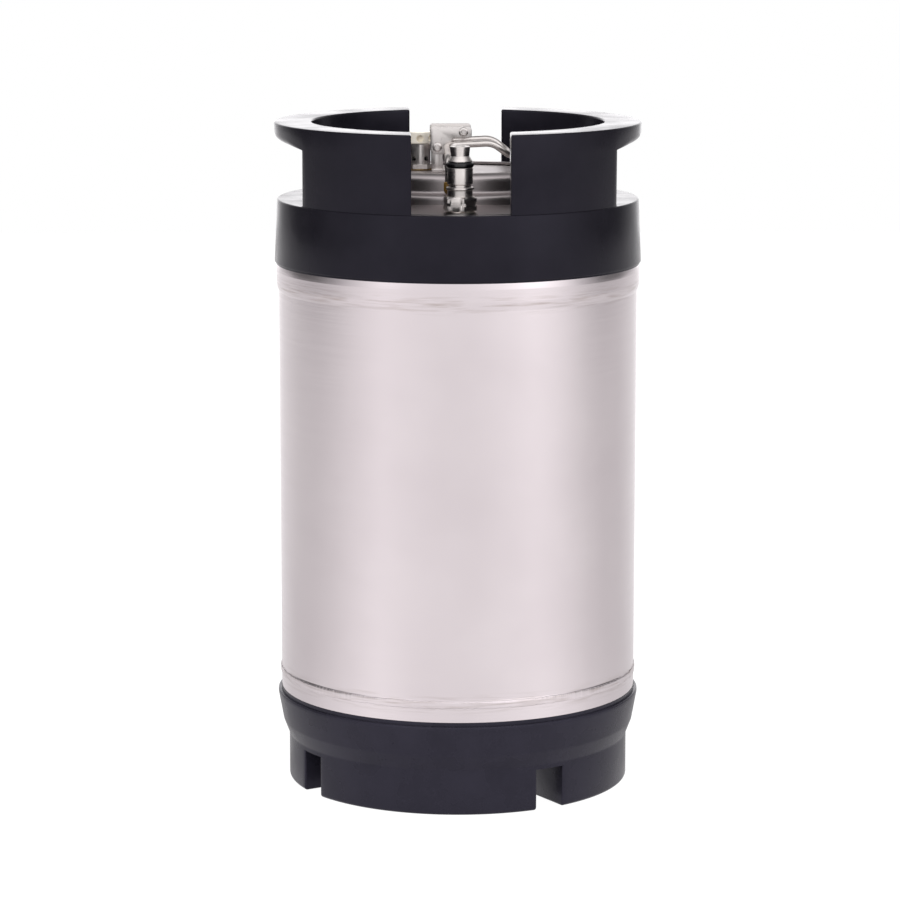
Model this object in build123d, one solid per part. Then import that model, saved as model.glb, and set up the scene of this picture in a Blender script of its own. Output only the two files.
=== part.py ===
from build123d import *
import math
import os

# Three-gallon stainless beverage tank with rubber boots, coupling posts and a latched oval lid.
# Millimetres. Z is up from the floor, X runs along the lid, and -Y is the front.

# Tank
body_diameter = 216.0
shell_wall = 1.2
head_wall = 1.3
crown_radius = 190.0
knuckle_radius = 30.0
straight_length = 255.5
floor_gap = 7.2
skirt_lap = 7.0
lap_clearance = 0.05
lower_seam_rise = 10.5
weld_width = 5.5
weld_rise = 0.45

# Oval neck of the top head
opening_length = 96.0
opening_width = 72.0
opening_end_radius = 30.0
neck_rise = 10.0
neck_width = 9.4
neck_height = 12.0
shoulder_width = 7.1
lip_round = 5.0
neck_fillet = 2.0
shoulder_round = 3.0

# Top boot: shoulder band and two thick handle lobes, each with a straight finger pocket under its lip
boot_clearance = 0.15
band_start = 4.0
band_height = 38.8
band_thickness = 1.0
band_taper = 1.7
band_edge_round = 0.4
ledge_width = 16.7
ledge_round = 1.2
handle_height = 46.2
handle_wall = 4.3
lobe_step = 0.8
flange_reach = 18.2
flange_edge = 10.0
flange_root = 12.6
flange_round = 4.0
root_fillet = 3.0
gap_width = 57.2
gap_depth = 1.4
gap_rim = 8.8
lobe_edge_round = 1.0

# Bottom boot: foot ring with four drain notches
foot_height = 55.0
foot_wall_inset = 4.4
foot_wall_height = 27.5
foot_taper_height = 9.0
foot_taper_width = 3.5
foot_lip = 2.1
foot_ring_width = 29.6
foot_edge_round = 2.0
foot_wall_fillet = 4.0
foot_taper_fillet = 8.0
notch_count = 4
notch_width = 18.0
notch_height = 25.0
notch_angle = 31.0

# Coupling posts and their fittings
boss_radius = 9.6
boss_stand = 0.2
boss_depth = 9.0
stub_radius = 7.0
stub_height = 8.0
thread_clearance = 0.05
seat_clearance = 0.2
post_hex = 17.5
post_hex_height = 9.0
post_collar_radius = 7.4
post_collar_height = 3.8
post_flange_radius = 8.1
post_flange_height = 1.5
post_groove_radius = 6.5
post_groove_height = 1.5
post_land_radius = 7.45
post_land_height = 9.9
post_oring_section = 2.9
post_oring_stand = 0.22
post_oring_groove = 3.4
post_cone_height = 3.3
post_nose_radius = 5.9
post_nose_taper = 0.5
post_nose_height = 5.7
post_bore = 6.0
chamber_radius = 4.2
chamber_cone = 2.0
hex_notch = 1.6
hex_notch_depth = 0.8
gas_hex_turn = -17.0

# Valve poppets inside the posts
poppet_clearance = 0.3
poppet_pin_radius = 2.2
poppet_pin_recess = 0.8
poppet_disc_height = 1.2
poppet_seal_height = 2.2
poppet_guide_radius = 1.5
poppet_guide_length = 7.0
poppet_spring_wire = 0.6
poppet_spring_turns = 6

# Dip tubes
tube_diameter = 7.94
tube_wall = 0.9
tube_clearance = 0.12
tube_flange_radius = 6.0
tube_flange_height = 1.4
tube_oring_section = 1.9
gas_tube_length = 42.0
liquid_bend_height = 70.0
liquid_bend_radius = 25.0
liquid_tip_offset = 12.0
liquid_tip_gap = 7.5

# Lid
lid_wall = 2.0
lid_recess = 1.7
lid_edge_clearance = 0.6
lid_flange_clearance = 0.8
lid_corner = 2.4
lid_oring_section = 6.5
seal_gap = 0.3
contact_gap = 0.05

# How far a cutting tool runs past the face it leaves
cut_over = 1.0

# Relief valve on the lid
relief_offset = -22.8
relief_radius = 6.4
relief_wall = 1.2
relief_hex = 15.0
relief_hex_height = 2.6
relief_shank_radius = 6.0
relief_shank_clearance = 0.2
relief_bore = 5.6
relief_spigot_height = 1.6
relief_spigot_wall = 0.6
relief_gasket_height = 1.2
relief_nut_hex = 17.0
relief_nut_height = 4.5
relief_tail = 1.5
bonnet_height = 11.9
bonnet_top = 1.4
vent_count = 5
vent_diameter = 2.8
vent_height = 3.4
relief_stem_radius = 1.4
relief_seal_height = 1.8
relief_disc_height = 1.0
relief_spring_wire = 0.7
relief_spring_turns = 4
relief_lift = 3.0
knob_height = 7.1
knob_cap = 2.8
knob_round = 0.6
knob_hole_diameter = 4.4
knob_hole_depth = 2.2
knob_hole_drop = 3.9

# Latch: two cheeks on a pivot pin, and one bent wire with a loop handle and two legs
pivot_offset = -12.5
pivot_height = 14.8
pivot_radius = 2.0
pivot_clearance = 0.05
rivet_head_radius = 3.0
rivet_head_height = 1.6
plate_thickness = 1.8
plate_gap = 0.3
ear_spacing = 20.4
ear_width = 7.0
ear_crown = 4.0
ear_round = 3.1
base_reach = 8.6
base_inset = 0.7
tab_reach = 4.0
cheek_back = 4.2
cheek_foot = 8.6
cheek_drop = 4.2
cheek_rise = 12.0
arm_reach = 20.5
arm_height = 6.6
cheek_corner = 1.8
cross_pin_reach = 15.6
cross_pin_rise = 9.0
cross_pin_radius = 1.6
wire_radius = 2.0
handle_start = 5.5
handle_start_rise = 1.2
handle_crest = 33.0
handle_crest_rise = 2.6
handle_reach = 43.0
handle_drop = 5.0
handle_crest_bend = 12.0
handle_end_bend = 9.0
leg_bend = 6.0
leg_drop = 4.0
foot_lead = 6.0
foot_tip_radius = 2.8
foot_tip_height = 7.5
foot_tip_round = 2.7
foot_tip_edge = 0.5
foot_tip_gap = 0.4
foot_rest_gap = 0.3


# Levels and radii that follow from the driving dimensions
def dish_drop(radius, crown, knuckle):
    return math.sqrt((crown - knuckle) ** 2 - (radius - knuckle) ** 2)


body_radius = body_diameter / 2
skirt_inner = body_radius + lap_clearance
skirt_outer = skirt_inner + head_wall
bottom_depth = crown_radius - dish_drop(body_radius, crown_radius, knuckle_radius)
top_depth = crown_radius - dish_drop(skirt_outer, crown_radius, knuckle_radius)
lower_tangent = floor_gap + bottom_depth
upper_tangent = lower_tangent + straight_length
skirt_bottom = upper_tangent - skirt_lap
lower_seam = lower_tangent + lower_seam_rise
crown_top = upper_tangent + top_depth

lip_top = crown_top + neck_rise
lip_under = lip_top - head_wall
shoulder_top = lip_top - neck_height
shoulder_offset = neck_width + shoulder_width
neck_inner = neck_width - head_wall

band_bottom = upper_tangent + band_start
ledge_top = band_bottom + band_height
handle_top = ledge_top + handle_height
band_radius = skirt_outer + boot_clearance + band_thickness
handle_outer = band_radius - band_taper - ledge_width
handle_inner = handle_outer - handle_wall
flange_radius = handle_outer + flange_reach
foot_radius = body_radius - foot_wall_inset

post_circle = (opening_width / 2 + shoulder_offset + handle_inner) / 2
crown_centre = crown_top - crown_radius
boss_top = crown_centre + math.sqrt(crown_radius**2 - (post_circle - boss_radius) ** 2) + boss_stand
post_bottom = boss_top + seat_clearance
hex_top = post_bottom + post_hex_height
collar_top = hex_top + post_collar_height
flange_top = collar_top + post_flange_height
groove_top = flange_top + post_groove_height
land_top = groove_top + post_land_height
oring_level = land_top + post_oring_groove / 2
cone_bottom = land_top + post_oring_groove
nose_bottom = cone_bottom + post_cone_height
post_top = nose_bottom + post_nose_height
stub_top = boss_top + stub_height
tube_flange_bottom = stub_top + contact_gap
tube_flange_top = tube_flange_bottom + tube_flange_height
tube_radius = tube_diameter / 2
stub_bore = tube_radius + tube_clearance
stub_recess = stub_bore + tube_oring_section
post_seat_cone = cone_bottom

lid_top = lip_top - lid_recess
lid_edge = -lid_edge_clearance
lid_oring_level = lip_under - seal_gap - lid_oring_section / 2
lid_oring_offset = lid_edge + contact_gap + lid_oring_section / 2
lid_flange_top = lid_oring_level - lid_oring_section / 2
lid_flange_offset = neck_inner - lid_flange_clearance

relief_hex_bottom = lid_top + relief_gasket_height
relief_seat = relief_hex_bottom + relief_hex_height
bonnet_inner = relief_radius - relief_wall
bonnet_end = relief_seat + bonnet_height
relief_spigot = bonnet_inner - contact_gap
relief_disc_radius = relief_spigot - relief_wall + contact_gap
relief_seal_bottom = relief_seat + contact_gap
relief_disc_bottom = relief_seal_bottom + relief_seal_height
relief_disc_top = relief_disc_bottom + relief_disc_height
knob_bottom = bonnet_end + seal_gap
knob_top = knob_bottom + knob_height

pivot_level = lid_top + pivot_height
ear_inner = ear_spacing / 2
ear_outer = ear_inner + plate_thickness
cheek_inner = ear_outer + plate_gap
cheek_outer = cheek_inner + plate_thickness
rod_offset = cheek_outer + contact_gap + wire_radius
leg_offset = opening_width / 2 + neck_width + foot_tip_gap + foot_tip_radius
foot_bottom = shoulder_top + foot_rest_gap


# Helpers
def turned(corners):
    points = [(radius, 0, height) for radius, height, rounding in corners]
    roundings = [rounding for radius, height, rounding in corners]
    outline = FilletPolyline(*points, radius=roundings, close=True)
    return revolve(make_face(outline), Axis.Z)


def tube(outer, inner, low, high):
    corners = [(inner, low, 0), (outer, low, 0), (outer, high, 0), (inner, high, 0)]
    return turned(corners)


def rod(radius, low, high):
    return Pos(0, 0, low) * Cylinder(radius, high - low, align=(Align.CENTER, Align.CENTER, Align.MIN))


def cone(low_radius, high_radius, low, high):
    size = (low_radius, high_radius, high - low)
    return Pos(0, 0, low) * Cone(*size, align=(Align.CENTER, Align.CENTER, Align.MIN))


def block(x_range, y_range, z_range):
    low = Vector(x_range[0], y_range[0], z_range[0])
    high = Vector(x_range[1], y_range[1], z_range[1])
    size = high - low
    middle = (low + high) / 2
    return Pos(middle.X, middle.Y, middle.Z) * Box(size.X, size.Y, size.Z)


def hex_prism(across_flats, low, high):
    outline = RegularPolygon(across_flats / 2, 6, major_radius=False)
    return extrude(Pos(0, 0, low) * outline, high - low)


# Solid of revolution under a dished end, closed at base; rise is +1 for a top and -1 for a bottom
def dished(radius, base, tangent, crown, knuckle, rise):
    centre = radius - knuckle
    reach = crown - knuckle
    drop = dish_drop(radius, crown, knuckle)
    crown_z = tangent - rise * drop
    turn = math.atan2(drop, centre)
    lean = math.pi / 2 - turn
    knuckle_mid = (centre + knuckle * math.cos(turn / 2), 0, tangent + rise * knuckle * math.sin(turn / 2))
    blend = (crown * centre / reach, 0, crown_z + rise * crown * drop / reach)
    crown_mid = (crown * math.sin(lean / 2), 0, crown_z + rise * crown * math.cos(lean / 2))
    apex = (0, 0, crown_z + rise * crown)
    edges = [
        Line((0, 0, base), (radius, 0, base)),
        Line((radius, 0, base), (radius, 0, tangent)),
        ThreePointArc((radius, 0, tangent), knuckle_mid, blend),
        ThreePointArc(blend, crown_mid, apex),
        Line(apex, (0, 0, base)),
    ]
    return revolve(make_face(edges), Axis.Z)


# Four-arc oval of the lid opening, set out by an even offset
opening_tip = opening_length / 2 - opening_end_radius
opening_side = opening_width / 2
flattening = opening_side - opening_end_radius
side_radius = (opening_tip**2 + opening_side**2 - opening_end_radius**2) / (2 * flattening)
side_centre = side_radius - opening_side
end_half_angle = math.degrees(math.atan2(side_centre, opening_tip))


def oval(offset):
    reach = (opening_end_radius + offset) / (side_radius - opening_end_radius)
    x = opening_tip * (1 + reach)
    y = side_centre * reach
    tip = opening_length / 2 + offset
    side = opening_side + offset
    edges = [
        ThreePointArc((x, -y), (tip, 0), (x, y)),
        ThreePointArc((x, y), (0, side), (-x, y)),
        ThreePointArc((-x, y), (-tip, 0), (-x, -y)),
        ThreePointArc((-x, -y), (0, -side), (x, -y)),
    ]
    return make_face(edges)


def oval_block(offset, low, high, top_round=0):
    body = extrude(Pos(0, 0, low) * oval(offset), high - low)
    if top_round:
        body = fillet(body.faces().sort_by(Axis.Z)[-1].edges(), top_round)
    return body


def oval_cord(offset, level, section):
    side_half_angle = 90 - end_half_angle
    arcs = [
        (opening_tip, 0, opening_end_radius, -end_half_angle, 2 * end_half_angle),
        (0, -side_centre, side_radius, end_half_angle, 2 * side_half_angle),
        (-opening_tip, 0, opening_end_radius, 180 - end_half_angle, 2 * end_half_angle),
        (0, side_centre, side_radius, 180 + end_half_angle, 2 * side_half_angle),
    ]
    pieces = []
    for x, y, radius, start, span in arcs:
        ring = Torus(radius + offset, section / 2, major_angle=span, align=None)
        pieces.append(Pos(x, y, level) * Rot(0, 0, start) * ring)
    return pieces[0].fuse(*pieces[1:])


# One unbroken coil on quarter-turn biarcs
def biarc(start, start_way, end, end_way):
    chord = end - start
    ways = start_way + end_way
    spread = 2 * (1 - start_way.dot(end_way))
    lean = chord.dot(ways)
    reach = (math.sqrt(lean**2 + spread * chord.dot(chord)) - lean) / spread
    first = start + start_way * reach
    second = end - end_way * reach
    middle = (first + second) / 2
    return [TangentArc(start, middle, tangent=start_way), TangentArc(middle, end, tangent=second - first)]


def coil_spring(mean_radius, wire, low, high, turns):
    quarters = 4 * turns
    climb = (high - low - wire) / quarters
    slope = climb / (math.pi / 2)
    path = []
    for quarter in range(quarters):
        ends = []
        for step in (quarter, quarter + 1):
            angle = step * math.pi / 2
            x, y = mean_radius * math.cos(angle), mean_radius * math.sin(angle)
            ends.append(Vector(x, y, low + wire / 2 + climb * step))
            ends.append(Vector(-y, x, slope).normalized())
        path += biarc(*ends)
    line = Wire(path)
    section = Plane(line @ 0, z_dir=line % 0) * Circle(wire / 2)
    return sweep(section, path=line)


def bent_wire(points, radii, radius):
    path = FilletPolyline(*points, radius=radii)
    section = Plane(path @ 0, z_dir=path % 0) * Circle(radius)
    return sweep(section, path=path)


# Tank shell and heads
def make_tank_shell():
    top = upper_tangent - lap_clearance
    shell = tube(body_radius, body_radius - shell_wall, lower_seam, top)
    low, high = lower_seam - weld_width / 2, lower_seam + weld_width / 2
    crest = (body_radius + weld_rise, 0, lower_seam)
    lower_bead = [
        Line((body_radius, 0, high), (body_radius, 0, low)),
        ThreePointArc((body_radius, 0, low), crest, (body_radius, 0, high)),
    ]
    toe = skirt_bottom - weld_width
    throat = (body_radius + head_wall / 2 + weld_rise, 0, skirt_bottom - weld_width / 2)
    upper_bead = [
        Line((body_radius, 0, skirt_bottom), (body_radius, 0, toe)),
        ThreePointArc((body_radius, 0, toe), throat, (skirt_outer, 0, skirt_bottom)),
        Line((skirt_outer, 0, skirt_bottom), (body_radius, 0, skirt_bottom)),
    ]
    for bead in (lower_bead, upper_bead):
        shell += revolve(make_face(bead), Axis.Z)
    return shell


def make_bottom_head():
    outer = dished(body_radius, lower_seam, lower_tangent, crown_radius, knuckle_radius, -1)
    inner_size = (crown_radius - head_wall, knuckle_radius - head_wall)
    inner = dished(body_radius - head_wall, lower_seam, lower_tangent, *inner_size, -1)
    return outer - inner


def make_top_head():
    outer = dished(skirt_outer, skirt_bottom, upper_tangent, crown_radius, knuckle_radius, 1)
    outer += oval_block(shoulder_offset, upper_tangent, shoulder_top, shoulder_round)
    outer += oval_block(neck_width, shoulder_top - head_wall, lip_top, lip_round)
    outer = fillet(shoulder_face(outer).inner_wires()[0].edges(), neck_fillet)
    inner_size = (crown_radius - head_wall, knuckle_radius - head_wall)
    inner = dished(skirt_inner, skirt_bottom, upper_tangent, *inner_size, 1)
    inner += oval_block(shoulder_offset - head_wall, upper_tangent, shoulder_top - head_wall)
    inner += oval_block(neck_inner, upper_tangent, lip_under, lip_round - head_wall)
    head = outer - inner - oval_block(0, upper_tangent, lip_top)
    for side in (-1, 1):
        head -= Pos(0, side * post_circle, 0) * rod(boss_radius + contact_gap, upper_tangent, lip_top)
    return head


def shoulder_face(solid):
    flats = solid.faces().filter_by(Plane.XY)
    return min(flats, key=lambda face: abs(face.center().Z - shoulder_top))


# Rubber boots
def make_top_boot():
    band_top = band_radius - band_taper
    corners = [
        (handle_inner, band_bottom, 0),
        (band_radius, band_bottom, band_edge_round),
        (band_top, ledge_top, 0),
        (band_top - lobe_step, ledge_top, 0),
        (flange_radius, handle_top, ledge_round),
        (handle_inner, handle_top, ledge_round),
    ]
    boot = turned(corners)
    crown = crown_radius + boot_clearance
    knuckle = knuckle_radius + boot_clearance
    boot -= dished(skirt_outer + boot_clearance, skirt_bottom - cut_over, upper_tangent, crown, knuckle, 1)
    half = gap_width / 2
    across, along = (-half, half), (-flange_radius, flange_radius)
    boot -= block(across, along, (ledge_top - gap_depth, handle_top + cut_over))
    lobe_ends = boot.faces().filter_by(Plane.YZ)
    rims = [edge for face in lobe_ends for edge in face.edges() if edge.center().Z > ledge_top + ledge_round]
    boot = fillet(rims, lobe_edge_round)
    rim_inner = band_top - gap_rim
    boot -= block(across, along, (upper_tangent, ledge_top)) & rod(rim_inner, upper_tangent, ledge_top)
    pocket = finger_pocket()
    boot -= pocket
    boot -= mirror(pocket, Plane.YZ)
    tips = [edge for edge in boot.edges() if on_flange_tip(edge)]
    return fillet(tips, flange_round)


# The pocket runs straight from front to back, with a sloping roof under the lip
def finger_pocket():
    roof_rise = (flange_root - flange_edge) / flange_reach
    past = flange_radius + cut_over
    corners = [
        (handle_outer, ledge_top),
        (past, ledge_top),
        (past, handle_top - flange_edge + roof_rise * cut_over),
        (handle_outer, handle_top - flange_root),
    ]
    outline = make_face(FilletPolyline(*corners, radius=[0, 0, 0, root_fillet], close=True))
    return extrude(Plane.XZ * outline, flange_radius, both=True)


def on_flange_tip(edge):
    middle = edge.center()
    low, high = handle_top - flange_root, handle_top - flange_edge / 2
    return low < middle.Z < high and abs(middle.X) > (handle_outer + flange_radius) / 2


def make_bottom_boot():
    inner = foot_radius - foot_ring_width
    taper_top = foot_wall_height + foot_taper_height
    lip_radius = body_radius + foot_lip
    corners = [
        (inner, 0, foot_edge_round / 2),
        (foot_radius, 0, foot_edge_round),
        (foot_radius, foot_wall_height, foot_wall_fillet),
        (foot_radius + foot_taper_width, taper_top, foot_taper_fillet),
        (lip_radius, foot_height - foot_lip, foot_lip / 2),
        (lip_radius, foot_height, foot_lip / 2),
        (inner, foot_height, 0),
    ]
    boot = turned(corners)
    crown = crown_radius + boot_clearance
    knuckle = knuckle_radius + boot_clearance
    boot -= dished(body_radius + boot_clearance, lower_seam, lower_tangent, crown, knuckle, -1)
    half = notch_width / 2
    notch = block((-half, half), (-lip_radius, 0), (-cut_over, notch_height))
    for index in range(notch_count):
        boot -= Rot(0, 0, notch_angle + index * 360 / notch_count) * notch
    return boot


# Fittings, posts, valves and dip tubes, on the Z axis
def make_fitting():
    body = rod(boss_radius, boss_top - boss_depth, boss_top)
    body += rod(stub_radius, boss_top, stub_top)
    body -= rod(stub_bore, boss_top - boss_depth, stub_top)
    return body - rod(stub_recess, stub_top - tube_oring_section - contact_gap, stub_top)


def make_post(notched):
    oring_inner = post_land_radius + post_oring_stand - post_oring_section - contact_gap
    nose_root = post_nose_radius - post_nose_taper
    post = hex_prism(post_hex, post_bottom, hex_top)
    post += rod(post_collar_radius, hex_top, collar_top)
    post += rod(post_flange_radius, collar_top, flange_top)
    post += rod(post_groove_radius, flange_top, groove_top)
    post += rod(post_land_radius, groove_top, land_top)
    post += rod(oring_inner, land_top, cone_bottom)
    post += cone(post_land_radius, nose_root, cone_bottom, nose_bottom)
    post += cone(nose_root, post_nose_radius, nose_bottom, post_top)
    flange_room = tube_flange_top + seat_clearance
    post -= rod(stub_radius + thread_clearance, post_bottom, stub_top + contact_gap)
    post -= rod(tube_flange_radius + seat_clearance, stub_top, flange_room)
    post -= rod(chamber_radius, flange_room, post_seat_cone)
    post -= cone(chamber_radius, post_bore / 2, post_seat_cone, post_seat_cone + chamber_cone)
    post -= rod(post_bore / 2, post_seat_cone, post_top)
    if notched:
        corner = post_hex / math.sqrt(3)
        low = (post_bottom + hex_top - hex_notch) / 2
        nick = tube(corner + hex_notch, corner - hex_notch_depth, low, low + hex_notch)
        post -= nick
    return post


def make_post_oring():
    middle = post_land_radius + post_oring_stand - post_oring_section / 2
    return Pos(0, 0, oring_level) * Torus(middle, post_oring_section / 2)


seal_radius = chamber_radius - poppet_clearance
seal_top = post_seat_cone - poppet_clearance
seal_bottom = seal_top - poppet_seal_height
poppet_disc_bottom = seal_bottom - poppet_disc_height


def make_poppet():
    poppet = rod(poppet_pin_radius, seal_bottom, post_top - poppet_pin_recess)
    poppet += rod(seal_radius, poppet_disc_bottom, seal_bottom)
    return poppet + rod(poppet_guide_radius, poppet_disc_bottom - poppet_guide_length, poppet_disc_bottom)


def make_poppet_seal():
    inner = poppet_pin_radius + contact_gap
    corners = [
        (inner, seal_bottom, 0),
        (seal_radius, seal_bottom, 0),
        (seal_radius, seal_top, poppet_clearance),
        (inner, seal_top, 0),
    ]
    return turned(corners)


def make_poppet_spring():
    mean = seal_radius - poppet_spring_wire / 2
    low = tube_flange_top + contact_gap
    high = poppet_disc_bottom - contact_gap
    return coil_spring(mean, poppet_spring_wire, low, high, poppet_spring_turns)


def make_tube_oring():
    middle = tube_radius + tube_clearance + tube_oring_section / 2
    level = stub_top - tube_oring_section / 2
    return Pos(0, 0, level) * Torus(middle, tube_oring_section / 2)


def tube_flange():
    return tube(tube_flange_radius, tube_radius - tube_wall, tube_flange_bottom, tube_flange_top)


def make_gas_tube():
    low = tube_flange_bottom - gas_tube_length
    return tube_flange() + tube(tube_radius, tube_radius - tube_wall, low, tube_flange_bottom)


# The long tube runs down, then slants to the lowest point of the tank
def make_liquid_tube():
    tip = liquid_tip_offset - post_circle
    tip_level = floor_gap + head_wall + liquid_tip_gap
    route = [(0, 0, tube_flange_bottom), (0, 0, liquid_bend_height), (0, tip, tip_level)]
    outside = bent_wire(route, [liquid_bend_radius], tube_radius)
    inside = bent_wire(route, [liquid_bend_radius], tube_radius - tube_wall)
    return tube_flange() + (outside - inside)


# Lid and relief valve
def make_lid_plate():
    lid_low = lid_flange_top - lid_wall
    plate = oval_block(lid_flange_offset, lid_low, lid_flange_top)
    plate += oval_block(lid_edge, lid_low, lid_top, lid_corner)
    plate -= oval_block(lid_edge - lid_wall, lid_low, lid_top - lid_wall)
    hole = rod(relief_shank_radius + relief_shank_clearance, lid_low, lid_top)
    return plate - Pos(relief_offset, 0, 0) * hole


def make_lid_oring():
    return oval_cord(lid_oring_offset, lid_oring_level, lid_oring_section)


def make_relief_body():
    tail = lid_top - lid_wall - relief_nut_height - relief_tail
    body = hex_prism(relief_hex, relief_hex_bottom, relief_seat)
    body += rod(relief_shank_radius, tail, relief_hex_bottom)
    spigot_top = relief_seat + relief_spigot_height
    body += tube(relief_spigot, relief_spigot - relief_spigot_wall, relief_seat, spigot_top)
    return body - rod(relief_bore / 2, tail, relief_seat)


def make_relief_gasket():
    inner = relief_shank_radius + relief_shank_clearance
    return tube(relief_hex / 2, inner, lid_top, relief_hex_bottom)


def make_relief_nut():
    top = lid_top - lid_wall
    nut = hex_prism(relief_nut_hex, top - relief_nut_height, top)
    return nut - rod(relief_shank_radius + thread_clearance, top - relief_nut_height, top)


def make_relief_bonnet():
    bonnet = rod(relief_radius, relief_seat, bonnet_end)
    bonnet -= rod(bonnet_inner, relief_seat, bonnet_end - bonnet_top)
    bonnet -= rod(relief_stem_radius + seal_gap, bonnet_end - bonnet_top, bonnet_end)
    level = relief_seat + vent_height
    vent = Pos(0, 0, level) * Rot(90, 0, 0) * rod(vent_diameter / 2, 0, relief_radius + cut_over)
    for index in range(vent_count):
        bonnet -= Rot(0, 0, (index + 0.5) * 360 / vent_count) * vent
    return bonnet


def make_relief_stem():
    stem = rod(relief_disc_radius, relief_disc_bottom, relief_disc_top)
    return stem + rod(relief_stem_radius, relief_disc_top, knob_top - knob_cap)


def make_relief_seal():
    return rod(relief_disc_radius, relief_seal_bottom, relief_disc_bottom)


def make_relief_spring():
    mean = (relief_stem_radius + bonnet_inner) / 2
    low = relief_disc_top + contact_gap
    high = bonnet_end - bonnet_top - contact_gap
    return coil_spring(mean, relief_spring_wire, low, high, relief_spring_turns)


def make_relief_knob():
    corners = [
        (0, knob_bottom, 0),
        (relief_radius, knob_bottom, knob_round),
        (relief_radius, knob_top, knob_round),
        (0, knob_top, 0),
    ]
    knob = turned(corners)
    knob -= rod(relief_stem_radius + contact_gap, knob_bottom, knob_top - knob_cap + contact_gap)
    hole_start = relief_radius - knob_hole_depth
    hole = rod(knob_hole_diameter / 2, hole_start, relief_radius + cut_over)
    hole = Pos(0, 0, knob_top - knob_hole_drop) * Rot(90, 0, 0) * hole
    for index in range(vent_count):
        knob -= Rot(0, 0, index * 360 / vent_count) * hole
    return knob


# Latch, set out from its pivot at the origin with X along the handle
def plate_pair(outline, inner, outer):
    plate = extrude(Plane.XZ.offset(inner) * outline, outer - inner)
    return plate, mirror(plate, Plane.XZ)


def cross_rod(radius, half_length, x=0, z=0):
    body = Rot(90, 0, 0) * Cylinder(radius, 2 * half_length)
    return Pos(x, 0, z) * body


def riveted_pin(radius, head_from, x=0, z=0):
    pin = cross_rod(radius, head_from + rivet_head_height, x, z)
    heads = cross_rod(rivet_head_radius, head_from + rivet_head_height, x, z)
    heads -= cross_rod(rivet_head_radius, head_from, x, z)
    return pin + heads


def make_lid_bracket():
    foot = -pivot_height
    half = ear_width / 2
    outline = make_face(
        FilletPolyline(
            (-half, foot), (half, foot), (half, ear_crown), (-half, ear_crown),
            radius=[0, 0, ear_round, ear_round], close=True,
        )
    )
    front, back = plate_pair(outline, ear_inner, ear_outer)
    strip = (foot, foot + plate_thickness)
    base = block((-base_inset, base_reach), (-ear_outer, ear_outer), strip)
    tabs = block((-half, half), (-ear_outer - tab_reach, -ear_inner), strip)
    tabs += block((-half, half), (ear_inner, ear_outer + tab_reach), strip)
    return front + back + base + tabs - cross_rod(pivot_radius + contact_gap, ear_outer)


def make_pivot_pin():
    return riveted_pin(pivot_radius, cheek_outer + plate_gap)


def make_cheeks():
    corners = [
        (-cheek_back, -cheek_drop),
        (cheek_foot, -cheek_drop),
        (cheek_foot, cheek_rise - arm_height),
        (arm_reach, cheek_rise - arm_height),
        (arm_reach, cheek_rise),
        (-cheek_back, cheek_rise),
    ]
    rounds = [2 * cheek_corner, cheek_corner, cheek_corner, cheek_corner, cheek_corner, cheek_corner]
    outline = make_face(FilletPolyline(*corners, radius=rounds, close=True))
    pivot_hole = cross_rod(pivot_radius + pivot_clearance, cheek_outer)
    cross_hole = cross_rod(cross_pin_radius + contact_gap, cheek_outer, cross_pin_reach, cross_pin_rise)
    return [plate - pivot_hole - cross_hole for plate in plate_pair(outline, cheek_inner, cheek_outer)]


def make_cross_pin():
    return riveted_pin(cross_pin_radius, cheek_outer, cross_pin_reach, cross_pin_rise)


# One wire: front leg, front rod, loop end, back rod and back leg
def make_handle():
    wire_end = foot_bottom + foot_tip_radius - pivot_level
    half = [
        (foot_lead, -leg_offset, wire_end),
        (foot_lead, -leg_offset, -leg_drop),
        (handle_start, -rod_offset, handle_start_rise),
        (handle_crest, -rod_offset, handle_crest_rise),
        (handle_reach, -rod_offset, -handle_drop),
    ]
    mirrored = [(x, -y, z) for x, y, z in reversed(half)]
    bends = [leg_bend, leg_bend, handle_crest_bend, handle_end_bend]
    return bent_wire(half + mirrored, bends + bends[::-1], wire_radius)


def make_feet():
    low = foot_bottom - pivot_level
    corners = [
        (0, low, 0),
        (foot_tip_radius, low, foot_tip_round),
        (foot_tip_radius, low + foot_tip_height, foot_tip_edge),
        (0, low + foot_tip_height, 0),
    ]
    socket = rod(wire_radius + contact_gap, low + foot_tip_radius - contact_gap, low + foot_tip_height)
    tip = turned(corners) - socket
    return [Pos(foot_lead, side * leg_offset, 0) * tip for side in (-1, 1)]


# Where each set of pieces stands
front_post = Pos(0, -post_circle, 0)
back_post = Pos(0, post_circle, 0)
relief_place = Pos(relief_offset, 0, 0)
pivot_place = Pos(pivot_offset, 0, pivot_level)

pieces = {
    "tank_shell": make_tank_shell(),
    "top_head": make_top_head(),
    "bottom_head": make_bottom_head(),
    "top_boot": make_top_boot(),
    "bottom_boot": make_bottom_boot(),
    "lid_plate": make_lid_plate(),
    "lid_oring": make_lid_oring(),
    "gas_post": front_post * Rot(0, 0, gas_hex_turn) * make_post(True),
    "liquid_post": back_post * make_post(False),
    "gas_dip_tube": front_post * make_gas_tube(),
    "liquid_dip_tube": back_post * make_liquid_tube(),
}

valve_makers = {
    "fitting": make_fitting,
    "post_oring": make_post_oring,
    "poppet": make_poppet,
    "poppet_seal": make_poppet_seal,
    "poppet_spring": make_poppet_spring,
    "tube_oring": make_tube_oring,
}
for name, make in valve_makers.items():
    pieces["gas_" + name] = front_post * make()
    pieces["liquid_" + name] = back_post * make()

relief_makers = {
    "body": make_relief_body,
    "gasket": make_relief_gasket,
    "nut": make_relief_nut,
    "bonnet": make_relief_bonnet,
    "stem": make_relief_stem,
    "seal": make_relief_seal,
    "spring": make_relief_spring,
    "knob": make_relief_knob,
}
for name, make in relief_makers.items():
    pieces["relief_" + name] = relief_place * make()

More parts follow.
